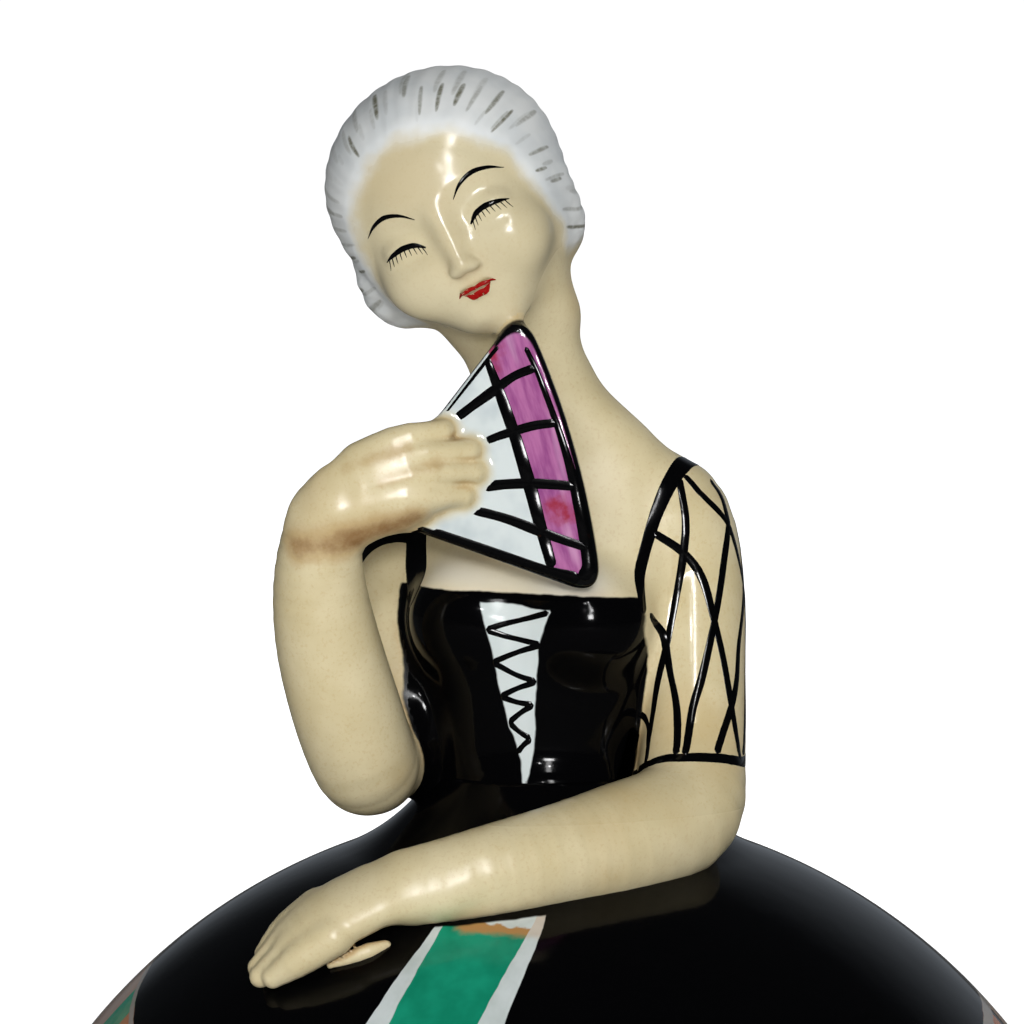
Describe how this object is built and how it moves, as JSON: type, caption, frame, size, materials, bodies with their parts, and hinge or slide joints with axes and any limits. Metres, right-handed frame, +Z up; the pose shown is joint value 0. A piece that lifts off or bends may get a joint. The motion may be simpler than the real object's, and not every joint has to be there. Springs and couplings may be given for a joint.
{
  "type": "powder jar",
  "caption": "Porcelain dressing-table powder jar: a round skirt-shaped bowl and a domed lift-off lid carrying a half figure with a fan, with a puff inside.",
  "frame": {"origin": "centre of the foot ring's resting plane", "axes": "+Z up; the figure, the laced bodice and the skirt's green front stripe face -Y; +X is the figure's left"},
  "size_m": [0.1396, 0.1396, 0.1694],
  "materials": {
    "skirt_glaze": "gloss black glaze over white porcelain, with striped enamel panels",
    "skin_glaze": "gloss clear glaze over cream-tinted porcelain",
    "fan_glaze": "gloss white glaze with magenta and black enamel",
    "puff_down": "soft down",
    "puff_satin": "satin weave",
    "puff_ribbon": "ribbed silk ribbon"
  },
  "bodies": {
    "bowl": {"skirt_bowl": "skirt_glaze"},
    "lid": {"skirt_lid": "skirt_glaze", "torso": "skin_glaze", "head": "skin_glaze", "left_arm": "skin_glaze", "right_arm": "skin_glaze", "fan": "fan_glaze"},
    "puff": {"puff_pile": "puff_down", "puff_backing": "puff_satin", "puff_loop": "puff_ribbon"}
  },
  "joints": [
    {"name": "lid_lift", "type": "slide", "parent": "bowl", "child": "lid", "axis": [0, 0, 1], "range_m": [0, 0.09]},
    {"name": "puff_lift", "type": "slide", "parent": "bowl", "child": "puff", "axis": [0, 0, 1], "range_m": [0, 0.042]}
  ]
}
